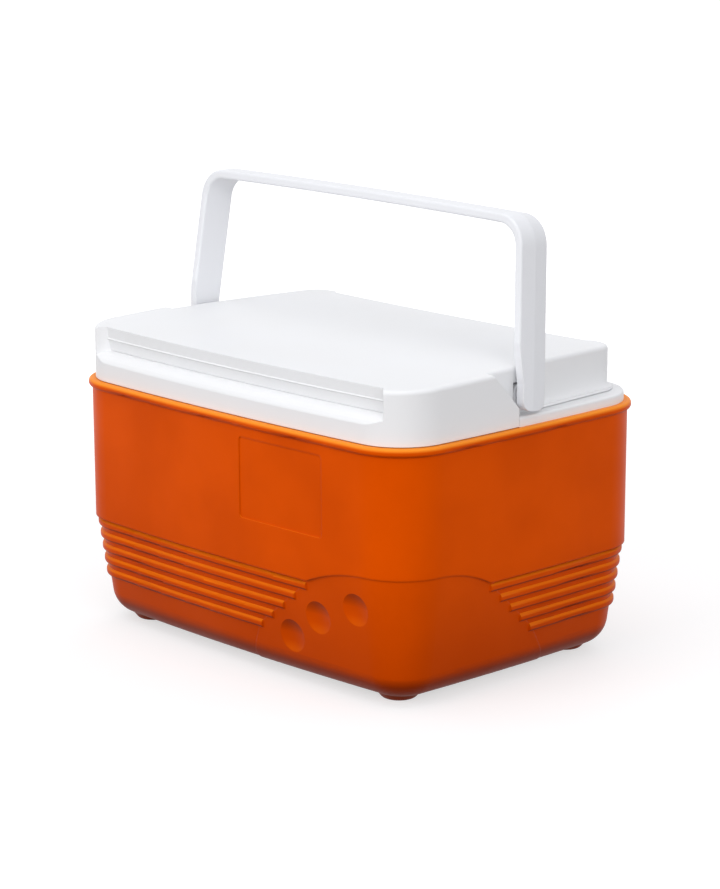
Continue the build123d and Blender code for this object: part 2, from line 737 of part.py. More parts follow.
def pack_bottle():
    """Flat water bottle standing in X and Z, its inner face towards -Y."""
    half = PACK_WIDTH / 2
    bottle = block(-half, half, 0, PACK_THICKNESS, 0, PACK_HEIGHT)
    shoulder = PACK_HEIGHT - PACK_NOTCH_HEIGHT
    bottle -= block(half - PACK_NOTCH_WIDTH, FAR, -FAR, FAR, shoulder, FAR)
    bottle = fillet(bottle.edges(), PACK_EDGE)
    middle = Pos(PACK_WAIST_X, 0, PACK_WAIST_Z)
    waist = Box(PACK_WAIST_LENGTH, 2 * PACK_WAIST_DEPTH, PACK_WAIST_HEIGHT)
    waist = fillet(waist.edges().filter_by(Axis.Y), PACK_WAIST_RADIUS)
    bottle = bottle - middle * waist - Pos(0, PACK_THICKNESS, 0) * middle * waist
    neck_x = half - PACK_NOTCH_WIDTH / 2
    neck = Pos(neck_x, PACK_THICKNESS / 2, shoulder - PAST) * Cylinder(
        NECK_RADIUS, NECK_HEIGHT + PAST, align=(Align.CENTER, Align.CENTER, Align.MIN))
    return bottle + neck


def pack_cap():
    """Fluted screw cap of an ice pack, in the bottle's own frame."""
    low = (Align.CENTER, Align.CENTER, Align.MIN)
    cap = Cylinder(CAP_RADIUS, CAP_HEIGHT, align=low)
    cap = fillet(cap.faces().sort_by(Axis.Z)[-1].edges(), CAP_EDGE)
    cap -= Cylinder(NECK_RADIUS + THREAD_GAP, NECK_HEIGHT, align=low)
    flute = Cylinder(CAP_FLUTE_RADIUS, CAP_HEIGHT - CAP_SKIRT, align=low)
    for spot in PolarLocations(CAP_RADIUS + CAP_FLUTE_RADIUS / 3, CAP_FLUTES):
        cap -= spot * flute
    neck_x = PACK_WIDTH / 2 - PACK_NOTCH_WIDTH / 2
    shoulder = PACK_HEIGHT - PACK_NOTCH_HEIGHT
    return Pos(neck_x, PACK_THICKNESS / 2, shoulder + CAP_GAP) * cap


def pack_place(name):
    """Where each ice pack stands against its wall of the chamber."""
    floor = CHAMBER_FLOOR + PACK_GAP
    gap = CHAMBER_TAPER + PACK_GAP + PACK_THICKNESS
    long_wall = CHAMBER_DEPTH / 2 - gap - FACE_BULGE * (PACK_WIDTH / CHAMBER_LENGTH) ** 2
    end_wall = CHAMBER_LENGTH / 2 - gap - END_BULGE * (PACK_WIDTH / CHAMBER_DEPTH) ** 2
    places = {
        "rear": Pos(0, long_wall, floor),
        "front": Pos(0, -long_wall, floor) * Rot(0, 0, 180),
        "left": Pos(-end_wall, 0, floor) * Rot(0, 0, 90),
        "right": Pos(end_wall, 0, floor) * Rot(0, 0, -90),
    }
    return places[name]


def vial_pad():
    """Foam pad on the ice packs, slit to hold vials."""
    share = (RIM_HEIGHT - PAD_FOOT) / (RIM_HEIGHT - CHAMBER_FLOOR)
    inset = CHAMBER_TAPER * share + PAD_GAP
    pad = extrude(chamber_plan(inset, PAD_FOOT), PAD_THICKNESS)
    across = Box(SLIT_LENGTH, SLIT_WIDTH, 4 * PAD_THICKNESS)
    slit = across + Rot(0, 0, 90) * across
    for spot in GridLocations(SLIT_PITCH, SLIT_PITCH, SLIT_COLUMNS, SLIT_ROWS):
        pad -= Pos(0, 0, PAD_FOOT) * spot * slit
    return pad


def save(name, shape):
    """Write one sub-part as its own STEP file."""
    export_step(shape, "parts/" + name + ".step")


os.makedirs("parts", exist_ok=True)
save("outer_shell", outer_shell())
save("body_insulation", body_insulation())
save("inner_liner", inner_liner())
save("top_collar", top_collar())
save("lid_shell", lid_shell())
save("lid_pan", lid_pan())
save("lid_insulation", lid_insulation())
save("lid_seal", lid_seal())
save("handle", handle())
save("pivot_pin_right", pivot_pin(1))
save("pivot_pin_left", pivot_pin(-1))
save("vial_pad", vial_pad())
for wall in ("front", "rear", "left", "right"):
    save("ice_pack_" + wall, pack_place(wall) * pack_bottle())
    save("ice_pack_cap_" + wall, pack_place(wall) * pack_cap())
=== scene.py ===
from math import cos, radians, sin

import bmesh
import bpy
from bpy.props import FloatProperty, FloatVectorProperty, PointerProperty
from mathutils import Matrix, Vector


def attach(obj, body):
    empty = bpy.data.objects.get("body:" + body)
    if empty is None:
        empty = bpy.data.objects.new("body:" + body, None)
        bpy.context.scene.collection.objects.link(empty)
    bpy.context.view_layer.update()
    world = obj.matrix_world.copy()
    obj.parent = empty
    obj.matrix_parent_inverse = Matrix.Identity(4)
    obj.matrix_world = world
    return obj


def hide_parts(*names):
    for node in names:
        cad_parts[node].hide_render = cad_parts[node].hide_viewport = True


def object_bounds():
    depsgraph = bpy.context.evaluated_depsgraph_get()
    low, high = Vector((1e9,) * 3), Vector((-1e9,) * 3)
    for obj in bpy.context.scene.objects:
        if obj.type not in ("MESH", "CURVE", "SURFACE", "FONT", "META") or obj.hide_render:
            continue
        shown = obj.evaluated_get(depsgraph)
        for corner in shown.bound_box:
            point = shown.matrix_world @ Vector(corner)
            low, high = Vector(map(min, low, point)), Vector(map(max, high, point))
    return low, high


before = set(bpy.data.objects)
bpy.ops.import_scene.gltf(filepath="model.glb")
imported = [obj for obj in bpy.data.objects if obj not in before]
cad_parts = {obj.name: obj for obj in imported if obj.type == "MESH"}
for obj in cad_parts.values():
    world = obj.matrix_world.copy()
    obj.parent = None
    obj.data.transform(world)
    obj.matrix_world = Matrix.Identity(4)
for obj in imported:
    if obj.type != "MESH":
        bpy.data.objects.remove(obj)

bl_info = {
    "name": "Vaccine Carrier",
    "version": (1, 0, 0),
    "blender": (4, 5, 0),
    "location": "3D View > Sidebar > Carrier",
    "description": "Finishes, soft pieces and studio of a cool box for vaccines",
    "category": "Object",
}

CAD_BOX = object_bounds()
MM = 0.001


# Colours ---------------------------------------------------------------

def linear(value):
    """Linear red, green and blue of an sRGB hex colour, with full alpha."""
    channels = [int(value[i:i + 2], 16) / 255 for i in (1, 3, 5)]
    return tuple(c / 12.92 if c <= 0.04045 else ((c + 0.055) / 1.055) ** 2.4 for c in channels) + (1.0,)


def colour(name, description, value):
    """A colour that a user can change in the sidebar."""
    return FloatVectorProperty(
        name=name, description=description, subtype="COLOR", size=4, min=0, max=1, default=linear(value))


def length(name, description, value):
    """A length that a user can change in the sidebar."""
    return FloatProperty(name=name, description=description, subtype="DISTANCE", min=0, default=value)


class CarrierColours(bpy.types.PropertyGroup):
    """Colours of the mouldings"""
    shell: colour("Shell", "Orange of the outer shell", "#E85400")
    shell_deep: colour("Shell, deep", "Where the pigment lies thicker", "#DD4E00")
    # Painted highlights: the next two colours brighten the crests that face up, on the ribs and on the bead.
    shell_rib_highlight: colour("Shell, rubbed", "Polished crests of the ribs", "#F57A12")
    shell_bead_highlight: colour("Bead, rubbed", "Polished crest of the bead round the rim", "#FF9A2E")
    # Painted shade on the faces that look down, as under the ribs and the bead.
    shell_under_shade: colour("Shell, dark", "Undersides of the ribs, where dust stays", "#7C2400")
    # Painted shade: the lower wall darker towards the floor.
    shell_low_shade: colour("Shell, low", "Lower wall, where grime dulls the orange", "#B83C00")
    shell_gloss: colour("Shell, gloss", "Tint of the shell's reflections", "#FF9C38")
    scuff: colour("Scuff", "Rubbed feet of the shell", "#B9602F")
    lid: colour("Lid", "White of the lid and the ledge", "#F2F3F5")
    lid_warm: colour("Lid, warm", "Thin walls that let a little warmth through", "#F1F1F1")
    handle: colour("Handle", "White of the handle", "#EFF0F3")
    liner: colour("Liner", "White of the chamber", "#ECEDEA")
    foam: colour("Wall foam", "Rigid foam in the walls", "#DDCE9E")
    pad: colour("Vial pad", "Soft foam that holds the vials", "#C3CBD3")
    seal: colour("Seal", "Soft ring under the lid", "#6C7075")
    steel: colour("Pins", "Plated steel of the pivot pins", "#B9BCC0")
    pack: colour("Ice packs", "Translucent bottle full of water", "#9CC6DE")
    cap: colour("Caps", "Screw caps of the ice packs", "#E3E8EC")


class CarrierSizes(bpy.types.PropertyGroup):
    """Sizes of the surface detail"""
    edge: length("Moulded edge", "Radius that every moulded edge keeps", 0.7 * MM)
    soft_edge: length("Soft edge", "Radius where the shell's walls meet", 1.8 * MM)
    cap_edge: length("Cap edge", "Radius of the edges of a screw cap", 0.3 * MM)
    pad_edge: length("Pad edge", "How round the soft pad's edges are", 1.5 * MM)
    seal_edge: length("Seal edge", "How round the soft ring's edges are", 0.5 * MM)
    peel: length("Orange peel", "Size of the ripples that a polished mould leaves", 2.4 * MM)
    peel_depth: length("Peel depth", "Height of the ripples that a polished mould leaves", 0.05 * MM)
    sink: length("Sink marks", "Distance between the shallow sink marks of a wall", 70 * MM)
    sink_depth: length("Sink depth", "How far a wall draws in at a sink mark", 0.9 * MM)
    flow: length("Flow marks", "Size of the cloudy patches in the colour", 55 * MM)
    scuff: length("Scuff marks", "Size of the marks on the rubbed feet", 7.2 * MM)
    scuff_height: length("Scuff height", "How far up the feet are rubbed", 5 * MM)
    # Height where the painted shade of the lower wall ends and the bead's painted highlight starts to blend
    # in.
    low_shade_height: length("Grime height", "Where the dulling of the lower wall ends", 85 * MM)
    # Height from which the painted highlight has the whole of the bead's colour.
    bead_highlight_height: length("Bead height", "Where polished crests take the whole of the bead's colour", 145 * MM)
    cell: length("Foam cell", "Size of the cells of a cut foam face", 1.2 * MM)
    wall_pore: length("Wall foam pores", "Depth of the pores of the foam in the walls", 0.2 * MM)
    pad_pore: length("Pad pores", "Depth of the pores of the vial pad", 0.15 * MM)
    dust: length("Dust", "Size of the dusty patches on the seal", 12 * MM)
    dust_depth: length("Dust depth", "Thickness of the dust on the seal", 0.05 * MM)
    turning: length("Turning marks", "Spacing of the rings on a turned pin", 0.96 * MM)
    turning_depth: length("Turning depth", "Depth of the rings on a turned pin", 0.02 * MM)
    frost: length("Frost", "Size of the frosted patches on an ice pack", 9.6 * MM)
    frost_depth: length("Frost depth", "Thickness of the frost on an ice pack", 0.1 * MM)


def power(name, description, value):
    """A lamp's power in watts, or the sky's strength, that a user can change in the sidebar."""
    return FloatProperty(name=name, description=description, default=value, min=0)


def angle(name, description, degrees):
    """An angle that a user can change in the sidebar."""
    return FloatProperty(
        name=name, description=description, subtype="ANGLE", default=radians(degrees))


def place(name, value):
    """A point that a user can change in the sidebar."""
    return FloatVectorProperty(
        name=name, description="Where it stands, in metres", subtype="TRANSLATION", default=value)


class CarrierStage(bpy.types.PropertyGroup):
    """Camera and studio"""
    lens: FloatProperty(name="Lens", description="Focal length in millimetres", default=119.45, min=1)
    azimuth: angle("Azimuth", "Turn of the view about the box", 46.69)
    elevation: angle("Elevation", "How far the view looks down", 13.25)
    roll: angle("Roll", "Turn of the picture", -0.17)
    camera_place: place("Camera", (1.30286, -1.22403, 0.54736))
    shift: FloatProperty(name="Shift", description="Upward shift of the picture", default=-0.0096)
    sky: power("Sky light", "Strength of the light from all round", 0.60)
    top_lamp: power("Top lamp", "Power of the soft lamp overhead, in watts", 6.0)
    top_lamp_place: place("Top lamp's place", (-0.2, -0.4, 1.6))
    top_lamp_size: length("Top lamp's size", "Side of the lamp", 1.4)
    front_lamp: power("Front lamp", "Power of the soft lamp before the front, in watts", 10.7)
    front_lamp_place: place("Front lamp's place", (-0.2, -1.9, 0.8))
    front_lamp_size: length("Front lamp's size", "Side of the lamp", 1.2)
    end_lamp: power("End lamp", "Power of the soft lamp beside the right end, in watts", 12.6)
    end_lamp_place: place("End lamp's place", (1.7, -0.9, 0.8))
    end_lamp_size: length("End lamp's size", "Side of the lamp", 1.2)
    rear_lamp: power("Rear lamp", "Power of the soft lamp behind, in watts", 5)
    rear_lamp_place: place("Rear lamp's place", (-0.8, 1.5, 1.2))
    rear_lamp_size: length("Rear lamp's size", "Side of the lamp", 1.2)
    floor: length("Floor", "Radius of the floor", 30)
    shade_end: length("Shade", "Distance up to which the floor keeps its full shade", 0.3)
    glow_start: length("Glow", "Distance from which the floor is plain white", 1.1)


# Materials --------------------------------------------------------------

def add(tree, kind, inputs=None, **settings):
    """Add a node, set it, and set or link its inputs."""
    new = tree.nodes.new(kind)
    for name, value in settings.items():
        setattr(new, name, value)
    for name, value in (inputs or {}).items():
        if isinstance(value, bpy.types.NodeSocket):
            tree.links.new(value, new.inputs[name])
        else:
            new.inputs[name].default_value = value
    return new


def start(name):
    """An empty material: its node tree and the point of the surface in the object's own metres."""
    material = bpy.data.materials.new(name)
    material.use_nodes = True
    material.node_tree.nodes.clear()
    point = add(material.node_tree, "ShaderNodeTexCoord").outputs["Object"]
    return material, material.node_tree, point


def end(tree, shader):
    """Join the finished shader to the material's surface."""
    add(tree, "ShaderNodeOutputMaterial", {"Surface": shader.outputs[0]})


def moulded_skin(tree, point, edge, peel_size):
    """Normal of a moulding: rounded edges, shallow sink marks and fine orange peel."""
    sizes = bpy.context.scene.carrier_sizes
    soft = add(tree, "ShaderNodeBevel", {"Radius": edge}, samples=8)
    # Walls draw in a little where the melt shrinks, a hand's breadth apart.
    sinks = add(tree, "ShaderNodeTexNoise", {
        "Vector": point, "Scale": 1 / sizes.sink, "Detail": 1.0, "Roughness": 0.4})
    hollow = add(tree, "ShaderNodeBump", {
        "Height": sinks.outputs["Fac"], "Normal": soft.outputs["Normal"],
        "Strength": 1.0, "Distance": sizes.sink_depth})
    # Orange peel of the mould, drawn a little coarser than it is so that it shows.
    peel = add(tree, "ShaderNodeTexNoise", {
        "Vector": point, "Scale": 1 / peel_size, "Detail": 2.0, "Roughness": 0.5})
    ripple = add(tree, "ShaderNodeBump", {
        "Height": peel.outputs["Fac"], "Normal": hollow.outputs["Normal"],
        "Strength": 0.3, "Distance": sizes.peel_depth})
    return ripple.outputs["Normal"]


def orange_polyethylene():
    """Injection-moulded polyethylene in orange: satin, faintly rippled, with rubbed feet, painted highlights
    on upward crests and painted shade below the ribs and low on the wall.
    """
    colours, sizes = bpy.context.scene.carrier_colours, bpy.context.scene.carrier_sizes
    material, tree, point = start("orange_polyethylene_moulded")
    # Cloudy flow marks: the pigment gathers where the melt slowed down.
    flow = add(tree, "ShaderNodeTexNoise", {
        "Vector": point, "Scale": 1 / sizes.flow, "Detail": 3.0, "Roughness": 0.45})
    cloud = add(tree, "ShaderNodeMapRange", {
        "Value": flow.outputs["Fac"], "From Min": 0.35, "From Max": 0.65})
    body = add(tree, "ShaderNodeMix", {
        "Factor": cloud.outputs["Result"], "A": colours.shell, "B": colours.shell_deep}, data_type="RGBA")
    # The feet are rubbed pale where they slide over tables.
    height = add(tree, "ShaderNodeSeparateXYZ", {"Vector": point})
    rub_noise = add(tree, "ShaderNodeTexNoise", {
        "Vector": point, "Scale": 1 / sizes.scuff, "Detail": 4.0, "Roughness": 0.7})
    low = add(tree, "ShaderNodeMapRange", {
        "Value": height.outputs["Z"], "From Min": 0.0, "From Max": sizes.scuff_height,
        "To Min": 0.75, "To Max": 0.0})
    rub = add(tree, "ShaderNodeMath", {
        0: low.outputs["Result"], 1: rub_noise.outputs["Fac"]}, operation="MULTIPLY")
    scuffed = add(tree, "ShaderNodeMix", {
        "Factor": rub.outputs[0], "A": body.outputs["Result"], "B": colours.scuff}, data_type="RGBA")
    # Painted shade: the lower wall is darker, most of all near the floor.
    low_shade = add(tree, "ShaderNodeMapRange", {
        "Value": height.outputs["Z"], "From Min": sizes.scuff_height, "From Max": sizes.low_shade_height,
        "To Min": 0.75, "To Max": 0.0})
    low_shaded = add(tree, "ShaderNodeMix", {
        "Factor": low_shade.outputs["Result"], "A": scuffed.outputs["Result"], "B": colours.shell_low_shade},
        data_type="RGBA")
    # Painted highlight: crests that face up, as on the bead and the ribs, are painted brighter.
    facing = add(tree, "ShaderNodeSeparateXYZ", {
        "Vector": add(tree, "ShaderNodeTexCoord").outputs["Normal"]})
    crest = add(tree, "ShaderNodeMapRange", {
        "Value": facing.outputs["Z"], "From Min": 0.03, "From Max": 0.75, "To Min": 0.0, "To Max": 0.9})
    rim = add(tree, "ShaderNodeMapRange", {
        "Value": height.outputs["Z"], "From Min": sizes.low_shade_height, "From Max": sizes.bead_highlight_height})
    highlight_colour = add(tree, "ShaderNodeMix", {
        "Factor": rim.outputs["Result"], "A": colours.shell_rib_highlight, "B": colours.shell_bead_highlight},
        data_type="RGBA")
    bright = add(tree, "ShaderNodeMix", {
        "Factor": crest.outputs["Result"], "A": low_shaded.outputs["Result"], "B": highlight_colour.outputs["Result"]},
        data_type="RGBA")
    # Painted shade on the faces that look down, as under each rib.
    under = add(tree, "ShaderNodeMapRange", {
        "Value": facing.outputs["Z"], "From Min": -0.17, "From Max": -0.5, "To Min": 0.0, "To Max": 0.8})
    # The painted shade is weaker on the bead.
    bead_shade_scale = add(tree, "ShaderNodeMapRange", {
        "Value": rim.outputs["Result"], "To Min": 1.0, "To Max": 0.35})
    # This mask is painted shade under the faces that look down.
    dust = add(tree, "ShaderNodeMath", {
        0: under.outputs["Result"], 1: bead_shade_scale.outputs["Result"]}, operation="MULTIPLY")
    paint = add(tree, "ShaderNodeMix", {
        "Factor": dust.outputs[0], "A": bright.outputs["Result"], "B": colours.shell_under_shade},
        data_type="RGBA")
    # Satin sheen that varies a little, so highlights don't look painted on.
    sheen = add(tree, "ShaderNodeMapRange", {
        "Value": flow.outputs["Fac"], "From Min": 0.3, "From Max": 0.7, "To Min": 0.40, "To Max": 0.47})
    shader = add(tree, "ShaderNodeBsdfPrincipled", {
        "Base Color": paint.outputs["Result"], "Roughness": sheen.outputs["Result"],
        "IOR": 1.50, "Specular IOR Level": 0.08, "Specular Tint": colours.shell_gloss,
        "Normal": moulded_skin(tree, point, sizes.soft_edge, sizes.peel)})
    end(tree, shader)
    return material


def white_moulding(name, tone, warm, edge, roughness, peel_size):
    """White moulded plastic: bright, a little translucent at thin walls, softly rippled."""
    sizes = bpy.context.scene.carrier_sizes
    material, tree, point = start(name)
    cloud = add(tree, "ShaderNodeTexNoise", {
        "Vector": point, "Scale": 1 / sizes.flow, "Detail": 2.0, "Roughness": 0.4})
    body = add(tree, "ShaderNodeMix", {
        "Factor": cloud.outputs["Fac"], "A": tone, "B": warm}, data_type="RGBA")
    sheen = add(tree, "ShaderNodeMapRange", {
        "Value": cloud.outputs["Fac"], "From Min": 0.3, "From Max": 0.7,
        "To Min": roughness - 0.03, "To Max": roughness + 0.04})
    shader = add(tree, "ShaderNodeBsdfPrincipled", {
        "Base Color": body.outputs["Result"], "Roughness": sheen.outputs["Result"],
        "IOR": 1.50, "Specular IOR Level": 0.35, "Normal": moulded_skin(tree, point, edge, peel_size),
        "Subsurface Weight": 0.06, "Subsurface Radius": (1.5 * MM, 1.5 * MM, 1.6 * MM)})
    end(tree, shader)
    return material


def cut_foam(name, tone, cell_size, depth):
    """Cut plastic foam: matt, with open cells that catch small shadows."""
    material, tree, point = start(name)
    cells = add(tree, "ShaderNodeTexVoronoi", {"Vector": point, "Scale": 1 / cell_size})
    shade = add(tree, "ShaderNodeMapRange", {
        "Value": cells.outputs["Distance"], "From Min": 0.1, "From Max": 0.6, "To Min": 0.86, "To Max": 1.0})
    body = add(tree, "ShaderNodeMix", {
        "Factor": 1.0, "A": tone, "B": shade.outputs["Result"]}, data_type="RGBA", blend_type="MULTIPLY")
    pores = add(tree, "ShaderNodeBump", {
        "Height": cells.outputs["Distance"], "Strength": 0.6, "Distance": depth})
    shader = add(tree, "ShaderNodeBsdfPrincipled", {
        "Base Color": body.outputs["Result"], "Roughness": 0.9, "Specular IOR Level": 0.25,
        "Normal": pores.outputs["Normal"]})
    end(tree, shader)
    return material


def soft_rubber():
    """Moulded gasket rubber: dark grey, dusty, without a clear highlight."""
    colours, sizes = bpy.context.scene.carrier_colours, bpy.context.scene.carrier_sizes
    material, tree, point = start("gasket_rubber_moulded")
    dust = add(tree, "ShaderNodeTexNoise", {
        "Vector": point, "Scale": 1 / sizes.dust, "Detail": 5.0, "Roughness": 0.65})
    sheen = add(tree, "ShaderNodeMapRange", {
        "Value": dust.outputs["Fac"], "From Min": 0.3, "From Max": 0.7, "To Min": 0.6, "To Max": 0.78})
    grain = add(tree, "ShaderNodeBump", {
        "Height": dust.outputs["Fac"], "Strength": 0.3, "Distance": sizes.dust_depth})
    shader = add(tree, "ShaderNodeBsdfPrincipled", {
        "Base Color": colours.seal, "Roughness": sheen.outputs["Result"], "IOR": 1.52,
        "Normal": grain.outputs["Normal"]})
    end(tree, shader)
    return material


def plated_steel():
    """Zinc-plated steel pin: turned, so fine rings run round it and stretch the highlight."""
    colours, sizes = bpy.context.scene.carrier_colours, bpy.context.scene.carrier_sizes
    material, tree, point = start("zinc_plated_steel_turned")
    rings = add(tree, "ShaderNodeTexWave", {
        "Vector": point, "Scale": 1 / sizes.turning, "Distortion": 0.6},
        wave_type="BANDS", bands_direction="X")
    sheen = add(tree, "ShaderNodeMapRange", {
        "Value": rings.outputs["Fac"], "To Min": 0.28, "To Max": 0.4})
    turning = add(tree, "ShaderNodeBump", {
        "Height": rings.outputs["Fac"], "Strength": 0.2, "Distance": sizes.turning_depth})
    shader = add(tree, "ShaderNodeBsdfPrincipled", {
        "Base Color": colours.steel, "Metallic": 1.0, "Roughness": sheen.outputs["Result"],
        "Normal": turning.outputs["Normal"]})
    end(tree, shader)
    return material


def filled_bottle():
    """Blow-moulded bottle full of frozen water: milky blue skin with frost over it."""
    colours, sizes = bpy.context.scene.carrier_colours, bpy.context.scene.carrier_sizes
    material, tree, point = start("polyethylene_bottle_blow_moulded")
    frost = add(tree, "ShaderNodeTexNoise", {
        "Vector": point, "Scale": 1 / sizes.frost, "Detail": 6.0, "Roughness": 0.6})
    rime = add(tree, "ShaderNodeMapRange", {
        "Value": frost.outputs["Fac"], "From Min": 0.45, "From Max": 0.7, "To Min": 0.0, "To Max": 0.55})
    body = add(tree, "ShaderNodeMix", {
        "Factor": rime.outputs["Result"], "A": colours.pack, "B": colours.cap}, data_type="RGBA")
    sheen = add(tree, "ShaderNodeMapRange", {
        "Value": rime.outputs["Result"], "From Max": 0.55, "To Min": 0.3, "To Max": 0.6})
    ripple = add(tree, "ShaderNodeBump", {
        "Height": frost.outputs["Fac"], "Strength": 0.3, "Distance": sizes.frost_depth})
    shader = add(tree, "ShaderNodeBsdfPrincipled", {
        "Base Color": body.outputs["Result"], "Roughness": sheen.outputs["Result"], "IOR": 1.50,
        "Normal": ripple.outputs["Normal"],
        "Subsurface Weight": 0.25, "Subsurface Radius": (3 * MM, 4 * MM, 6 * MM)})
    end(tree, shader)
    return material


def dress(material, *nodes):
    """Give CAD nodes one material."""
    for name in nodes:
        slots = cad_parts[name].data.materials
        slots.clear()
        slots.append(material)


# Pieces -----------------------------------------------------------------

def merged_copy(node, name):
    """A new piece with the node's shape, its doubled corners merged."""
    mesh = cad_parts[node].data.copy()
    mesh.name = name
    shape = bmesh.new()
    shape.from_mesh(mesh)
    bmesh.ops.remove_doubles(shape, verts=shape.verts, dist=0.01 * MM)
    bmesh.ops.dissolve_limit(
        shape, angle_limit=radians(1), verts=shape.verts, edges=shape.edges)
    bmesh.ops.recalc_face_normals(shape, faces=shape.faces)
    shape.to_mesh(mesh)
    shape.free()
    mesh.materials.clear()
    piece = bpy.data.objects.new(name, mesh)
    bpy.context.scene.collection.objects.link(piece)
    return piece


def round_edges(piece, width):
    """Round a soft piece's edges."""
    soften = piece.modifiers.new("soft_edges", "BEVEL")
    soften.width = width
    soften.segments = 3
    soften.limit_method = "ANGLE"


class CARRIER_OT_shell(bpy.types.Operator):
    """Finish the orange outer shell"""
    bl_idname = "carrier.shell"
    bl_label = "Outer Shell"

    def execute(self, context):
        dress(orange_polyethylene(), "outer_shell")
        return {"FINISHED"}


class CARRIER_OT_lid(bpy.types.Operator):
    """Finish the white lid and the ledge that it stands on"""
    bl_idname = "carrier.lid"
    bl_label = "Lid and Ledge"

    def execute(self, context):
        colours, sizes = context.scene.carrier_colours, context.scene.carrier_sizes
        white = white_moulding(
            "white_polyethylene_moulded", colours.lid, colours.lid_warm,
            edge=sizes.edge, roughness=0.42, peel_size=sizes.peel)
        dress(white, "lid_shell", "top_collar")
        return {"FINISHED"}


class CARRIER_OT_handle(bpy.types.Operator):
    """Finish the bail handle and its pins"""
    bl_idname = "carrier.handle"
    bl_label = "Handle"

    def execute(self, context):
        colours, sizes = context.scene.carrier_colours, context.scene.carrier_sizes
        white = white_moulding(
            "white_polypropylene_moulded", colours.handle, colours.handle,
            edge=sizes.edge, roughness=0.34, peel_size=sizes.peel)
        dress(white, "handle")
        dress(plated_steel(), "pivot_pin_left", "pivot_pin_right")
        return {"FINISHED"}


class CARRIER_OT_inside(bpy.types.Operator):
    """Finish the liner, the lid's underside and the foam in the walls"""
    bl_idname = "carrier.inside"
    bl_label = "Liner and Insulation"

    def execute(self, context):
        colours, sizes = context.scene.carrier_colours, context.scene.carrier_sizes
        liner = white_moulding(
            "white_polystyrene_formed", colours.liner, colours.liner,
            edge=sizes.edge, roughness=0.30, peel_size=2 * sizes.peel)
        dress(liner, "inner_liner", "lid_pan")
        foam = cut_foam("polyurethane_foam_poured", colours.foam, sizes.cell, sizes.wall_pore)
        dress(foam, "body_insulation", "lid_insulation")
        return {"FINISHED"}


class CARRIER_OT_ice_packs(bpy.types.Operator):
    """Finish the four ice packs and their caps"""
    bl_idname = "carrier.ice_packs"
    bl_label = "Ice Packs"

    def execute(self, context):
        colours, sizes = context.scene.carrier_colours, context.scene.carrier_sizes
        bottle = filled_bottle()
        cap = white_moulding(
            "white_polypropylene_cap", colours.cap, colours.cap,
            edge=sizes.cap_edge, roughness=0.4, peel_size=sizes.peel)
        for wall in ("front", "rear", "left", "right"):
            dress(bottle, "ice_pack_" + wall)
            dress(cap, "ice_pack_cap_" + wall)
        return {"FINISHED"}


class CARRIER_OT_vial_pad(bpy.types.Operator):
    """Make the soft foam pad that holds the vials, with rounded edges"""
    bl_idname = "carrier.vial_pad"
    bl_label = "Vial Pad"

    def execute(self, context):
        colours, sizes = context.scene.carrier_colours, context.scene.carrier_sizes
        pad = merged_copy("vial_pad", "soft_vial_pad")
        round_edges(pad, sizes.pad_edge)
        pad.data.materials.append(cut_foam("polyethylene_foam_cut", colours.pad, sizes.cell, sizes.pad_pore))
        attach(pad, "carrier")
        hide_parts("vial_pad")
        return {"FINISHED"}


class CARRIER_OT_seal(bpy.types.Operator):
    """Make the soft ring under the lid, with a rounded section"""
    bl_idname = "carrier.seal"
    bl_label = "Seal"

    def execute(self, context):
        seal = merged_copy("lid_seal", "soft_lid_seal")
        round_edges(seal, context.scene.carrier_sizes.seal_edge)
        seal.data.materials.append(soft_rubber())
        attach(seal, "lid")
        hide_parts("lid_seal")
        return {"FINISHED"}


# Studio -----------------------------------------------------------------

def seen(tree):
    """1 where the studio itself is seen: straight, through a clear piece or in a reflection."""
    path = add(tree, "ShaderNodeLightPath")
    direct = add(tree, "ShaderNodeMath", {
        0: path.outputs["Is Camera Ray"], 1: path.outputs["Is Transmission Ray"]}, operation="MAXIMUM")
    either = add(tree, "ShaderNodeMath", {
        0: direct.outputs[0], 1: path.outputs["Is Glossy Ray"]}, operation="MAXIMUM")
    return either.outputs[0]


def studio_floor(stage):
    """Pale matt floor: white to the eye with a soft shadow, and dim to the object above it."""
    material, tree, point = start("studio_floor_matt")
    paper = add(tree, "ShaderNodeBsdfDiffuse", {"Color": linear("#B8B8B8")})
    # Far from the box the floor is plain white, so it meets the sky without a line.
    away = add(tree, "ShaderNodeVectorMath", {0: point}, operation="LENGTH")
    glow_strength = add(tree, "ShaderNodeMapRange", {
        "Value": away.outputs["Value"], "From Min": stage.shade_end, "From Max": stage.glow_start,
        "To Min": 0.60, "To Max": 1.0}, interpolation_type="SMOOTHSTEP")
    glow = add(tree, "ShaderNodeEmission", {
        "Color": linear("#FFFFFF"), "Strength": glow_strength.outputs["Result"]})
    white = add(tree, "ShaderNodeAddShader", {0: paper.outputs[0], 1: glow.outputs[0]})
    table = add(tree, "ShaderNodeBsdfDiffuse", {"Color": linear("#8C8A88")})
    floor = add(tree, "ShaderNodeMixShader", {
        "Fac": seen(tree), 1: table.outputs[0], 2: white.outputs[0]})
    end(tree, floor)
    return material


def studio_sky(strength):
    """White to the eye, and an even soft light to everything else."""
    world = bpy.data.worlds.new("studio_sky")
    world.use_nodes = True
    tree = world.node_tree
    tree.nodes.clear()
    soft = add(tree, "ShaderNodeBackground", {"Color": linear("#F9FAFF"), "Strength": strength})
    white = add(tree, "ShaderNodeBackground", {"Color": linear("#FFFFFF"), "Strength": 1.0})
    both = add(tree, "ShaderNodeMixShader", {
        "Fac": seen(tree), 1: soft.outputs[0], 2: white.outputs[0]})
    add(tree, "ShaderNodeOutputWorld", {"Surface": both.outputs[0]})
    bpy.context.scene.world = world


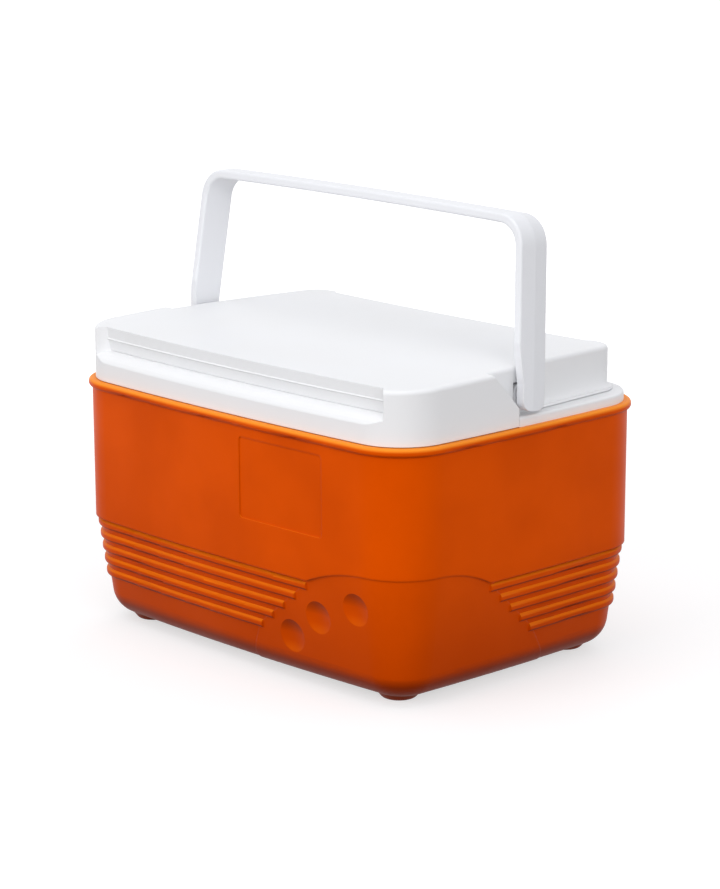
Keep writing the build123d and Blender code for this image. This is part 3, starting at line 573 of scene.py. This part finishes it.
def lamp(name, stand, aim, size, watts):
    """Large square lamp that looks at a point."""
    light = bpy.data.lights.new(name, "AREA")
    light.size = size
    light.energy = watts
    holder = bpy.data.objects.new(name, light)
    holder.location = stand
    holder.rotation_euler = (Vector(aim) - Vector(stand)).to_track_quat("-Z", "Y").to_euler()
    holder.visible_camera = False
    # Satin faces mirror the white studio alone, so that no pale face burns out at a low angle.
    holder.visible_glossy = False
    bpy.context.scene.collection.objects.link(holder)


class CARRIER_OT_stage(bpy.types.Operator):
    """Set up the floor, the light and the camera"""
    bl_idname = "carrier.stage"
    bl_label = "Studio"

    def execute(self, context):
        stage = context.scene.carrier_stage
        mesh = bpy.data.meshes.new("studio_floor")
        ground = bmesh.new()
        bmesh.ops.create_circle(ground, cap_ends=True, segments=64, radius=stage.floor)
        ground.to_mesh(mesh)
        ground.free()
        mesh.materials.append(studio_floor(stage))
        floor = bpy.data.objects.new("studio_floor", mesh)
        context.scene.collection.objects.link(floor)
        studio_sky(stage.sky)
        middle = (CAD_BOX[0] + CAD_BOX[1]) / 2
        for name in ("top_lamp", "front_lamp", "end_lamp", "rear_lamp"):
            lamp(name, getattr(stage, name + "_place"), middle,
                 getattr(stage, name + "_size"), getattr(stage, name))

        camera = bpy.data.objects.new("camera", bpy.data.cameras.new("camera"))
        camera.data.lens = stage.lens
        camera.data.shift_y = stage.shift
        turn, rise, roll = stage.azimuth, stage.elevation, stage.roll
        back = Vector((sin(turn) * cos(rise), -cos(turn) * cos(rise), sin(rise)))
        right = Vector((cos(turn), sin(turn), 0))
        up = back.cross(right)
        side = right * cos(roll) + up * sin(roll)
        matrix = Matrix((side, back.cross(side), back)).transposed().to_4x4()
        matrix.translation = stage.camera_place
        camera.matrix_world = matrix
        context.scene.collection.objects.link(camera)
        context.scene.camera = camera
        context.scene.view_settings.view_transform = "Standard"
        return {"FINISHED"}


# Sidebar ----------------------------------------------------------------

PIECES = (
    CARRIER_OT_shell,
    CARRIER_OT_lid,
    CARRIER_OT_handle,
    CARRIER_OT_inside,
    CARRIER_OT_ice_packs,
    CARRIER_OT_vial_pad,
    CARRIER_OT_seal,
    CARRIER_OT_stage,
)
GROUPS = {
    "carrier_colours": CarrierColours,
    "carrier_sizes": CarrierSizes,
    "carrier_stage": CarrierStage,
}


class CARRIER_PT_sidebar(bpy.types.Panel):
    """Lists the colours, the sizes and the pieces"""
    bl_label = "Vaccine Carrier"
    bl_space_type = "VIEW_3D"
    bl_region_type = "UI"
    bl_category = "Carrier"

    def draw(self, context):
        for group in GROUPS:
            box = self.layout.box()
            values = getattr(context.scene, group)
            for name in values.bl_rna.properties.keys():
                if name not in ("rna_type", "name"):
                    box.prop(values, name)
        for piece in PIECES:
            self.layout.operator(piece.bl_idname)


def register():
    for group in GROUPS.values():
        bpy.utils.register_class(group)
    for name, group in GROUPS.items():
        setattr(bpy.types.Scene, name, PointerProperty(type=group))
    for piece in PIECES:
        bpy.utils.register_class(piece)
    bpy.utils.register_class(CARRIER_PT_sidebar)


def unregister():
    bpy.utils.unregister_class(CARRIER_PT_sidebar)
    for piece in reversed(PIECES):
        bpy.utils.unregister_class(piece)
    for name in GROUPS:
        delattr(bpy.types.Scene, name)
    for group in reversed(GROUPS.values()):
        bpy.utils.unregister_class(group)


def main():
    register()
    bpy.ops.carrier.shell()
    bpy.ops.carrier.lid()
    bpy.ops.carrier.handle()
    bpy.ops.carrier.inside()
    bpy.ops.carrier.ice_packs()
    bpy.ops.carrier.vial_pad()
    bpy.ops.carrier.seal()
    bpy.ops.carrier.stage()


if __name__ == "__main__":
    main()
